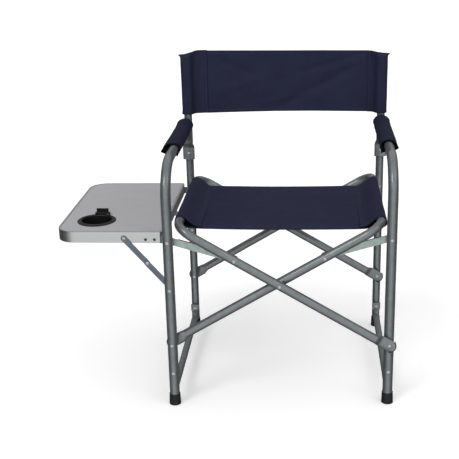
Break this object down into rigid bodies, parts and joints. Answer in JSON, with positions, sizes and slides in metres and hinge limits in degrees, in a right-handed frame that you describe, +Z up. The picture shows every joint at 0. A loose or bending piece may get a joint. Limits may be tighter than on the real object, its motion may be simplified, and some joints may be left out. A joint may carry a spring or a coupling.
{
  "type": "folding director chair",
  "caption": "Folding director chair with tube side frames, crossed under-frame, cloth seat and back, padded arms and a fold-down side table with a cup holder.",
  "frame": {"origin": "centre of the whole object's box, on the floor", "axes": "+Z up, the chair faces -Y, the side table hangs on the -X side"},
  "size_m": [0.846, 0.5284, 0.832],
  "materials": {
    "frame_paint": "grey hammer powder coat, satin",
    "rivet_steel": "zinc plated",
    "screw_steel": "black oxide",
    "link_zinc": "zinc plated sheet",
    "strut_steel": "blue-grey coat",
    "black_plastic": "fine moulded grain",
    "black_rubber": "matt",
    "nylon": "natural",
    "cloth": "navy plain weave polyester",
    "pad_cloth": "navy plain weave over foam",
    "table_board": "grey laminate, satin",
    "table_edge": "extruded, fine grooves"
  },
  "bodies": {
    "left_frame": {"left_arm_leg_tube": "frame_paint", "left_back_post": "frame_paint", "left_floor_rail": "frame_paint", "left_foot_caps": "black_rubber", "left_post_cap": "black_plastic", "left_arm_pad": "pad_cloth", "left_frame_rivets": "rivet_steel", "back_cloth": "cloth"},
    "right_frame": {"right_arm_leg_tube": "frame_paint", "right_back_post": "frame_paint", "right_floor_rail": "frame_paint", "right_foot_caps": "black_rubber", "right_post_cap": "black_plastic", "right_arm_pad": "pad_cloth", "right_frame_rivets": "rivet_steel"},
    "cross_frame_b": {"cross_frame_b_tube": "frame_paint", "cross_frame_b_end_caps": "black_plastic", "cross_frame_b_link_rivets": "rivet_steel", "centre_rivets": "rivet_steel", "centre_washers": "nylon"},
    "cross_frame_a": {"cross_frame_a_tube": "frame_paint", "cross_frame_a_end_caps": "black_plastic", "cross_frame_a_link_rivets": "rivet_steel", "seat_cloth": "cloth"},
    "left_links": {"left_front_link": "link_zinc", "left_rear_link": "link_zinc"},
    "right_links": {"right_front_link": "link_zinc", "right_rear_link": "link_zinc"},
    "table": {"table_panel": "table_board", "table_edge": "table_edge", "table_front_bracket": "strut_steel", "table_rear_bracket": "strut_steel", "table_screws": "screw_steel", "table_strut_rivets": "rivet_steel", "cup_holder": "black_plastic", "cup_clip_pin": "rivet_steel"},
    "cup_clip": {"cup_clip": "black_plastic"},
    "upper_struts": {"front_upper_strut": "strut_steel", "rear_upper_strut": "strut_steel", "upper_knee_studs": "rivet_steel"},
    "lower_struts": {"front_lower_strut": "strut_steel", "rear_lower_strut": "strut_steel", "lower_knee_studs": "rivet_steel"}
  },
  "joints": [
    {"name": "fold", "type": "hinge", "parent": "left_frame", "child": "cross_frame_b", "pos_m": [-0.14, -0.0013, 0.165], "axis": [0, -1, 0], "range_deg": [0, 42.35], "deforming": ["seat_cloth", "back_cloth", "left_arm_pad", "right_arm_pad"]},
    {"name": "centre_pivot", "type": "hinge", "parent": "cross_frame_b", "child": "cross_frame_a", "pos_m": [0.13, -0.0013, 0.325], "axis": [0, -1, 0], "range_deg": [-90.7, 0]},
    {"name": "right_pivot", "type": "hinge", "parent": "cross_frame_a", "child": "right_frame", "pos_m": [0.4, -0.0013, 0.165], "axis": [0, -1, 0], "range_deg": [0, 42.35]},
    {"name": "left_link_pivot", "type": "hinge", "parent": "left_frame", "child": "left_links", "pos_m": [-0.14, -0.0013, 0.437], "axis": [0, -1, 0], "range_deg": [0, 82.57]},
    {"name": "right_link_pivot", "type": "hinge", "parent": "right_frame", "child": "right_links", "pos_m": [0.4, -0.0013, 0.437], "axis": [0, 1, 0], "range_deg": [0, 82.57]},
    {"name": "table_fold", "type": "hinge", "parent": "left_frame", "child": "table", "pos_m": [-0.14, -0.0013, 0.437], "axis": [0, -1, 0], "range_deg": [0, 80]},
    {"name": "upper_strut_pivot", "type": "hinge", "parent": "table", "child": "upper_struts", "pos_m": [-0.251, -0.0013, 0.441], "axis": [0, -1, 0], "range_deg": [-144.33, 0]},
    {"name": "lower_strut_pivot", "type": "hinge", "parent": "left_frame", "child": "lower_struts", "pos_m": [-0.14, -0.0013, 0.3135], "axis": [0, -1, 0], "range_deg": [0, 96.92]},
    {"name": "cup_clip_hinge", "type": "hinge", "parent": "table", "child": "cup_clip", "pos_m": [-0.33, -0.0958, 0.4624], "axis": [1, 0, 0], "range_deg": [0, 85]}
  ],
  "couplings": [
    {"joint": "centre_pivot", "follows": "fold", "ratio": -2.1417},
    {"joint": "right_pivot", "follows": "fold", "ratio": 1},
    {"joint": "left_link_pivot", "follows": "fold", "ratio": 1.9498},
    {"joint": "right_link_pivot", "follows": "fold", "ratio": 1.9498},
    {"joint": "upper_strut_pivot", "follows": "table_fold", "ratio": -1.8039},
    {"joint": "lower_strut_pivot", "follows": "table_fold", "ratio": 1.2114}
  ]
}
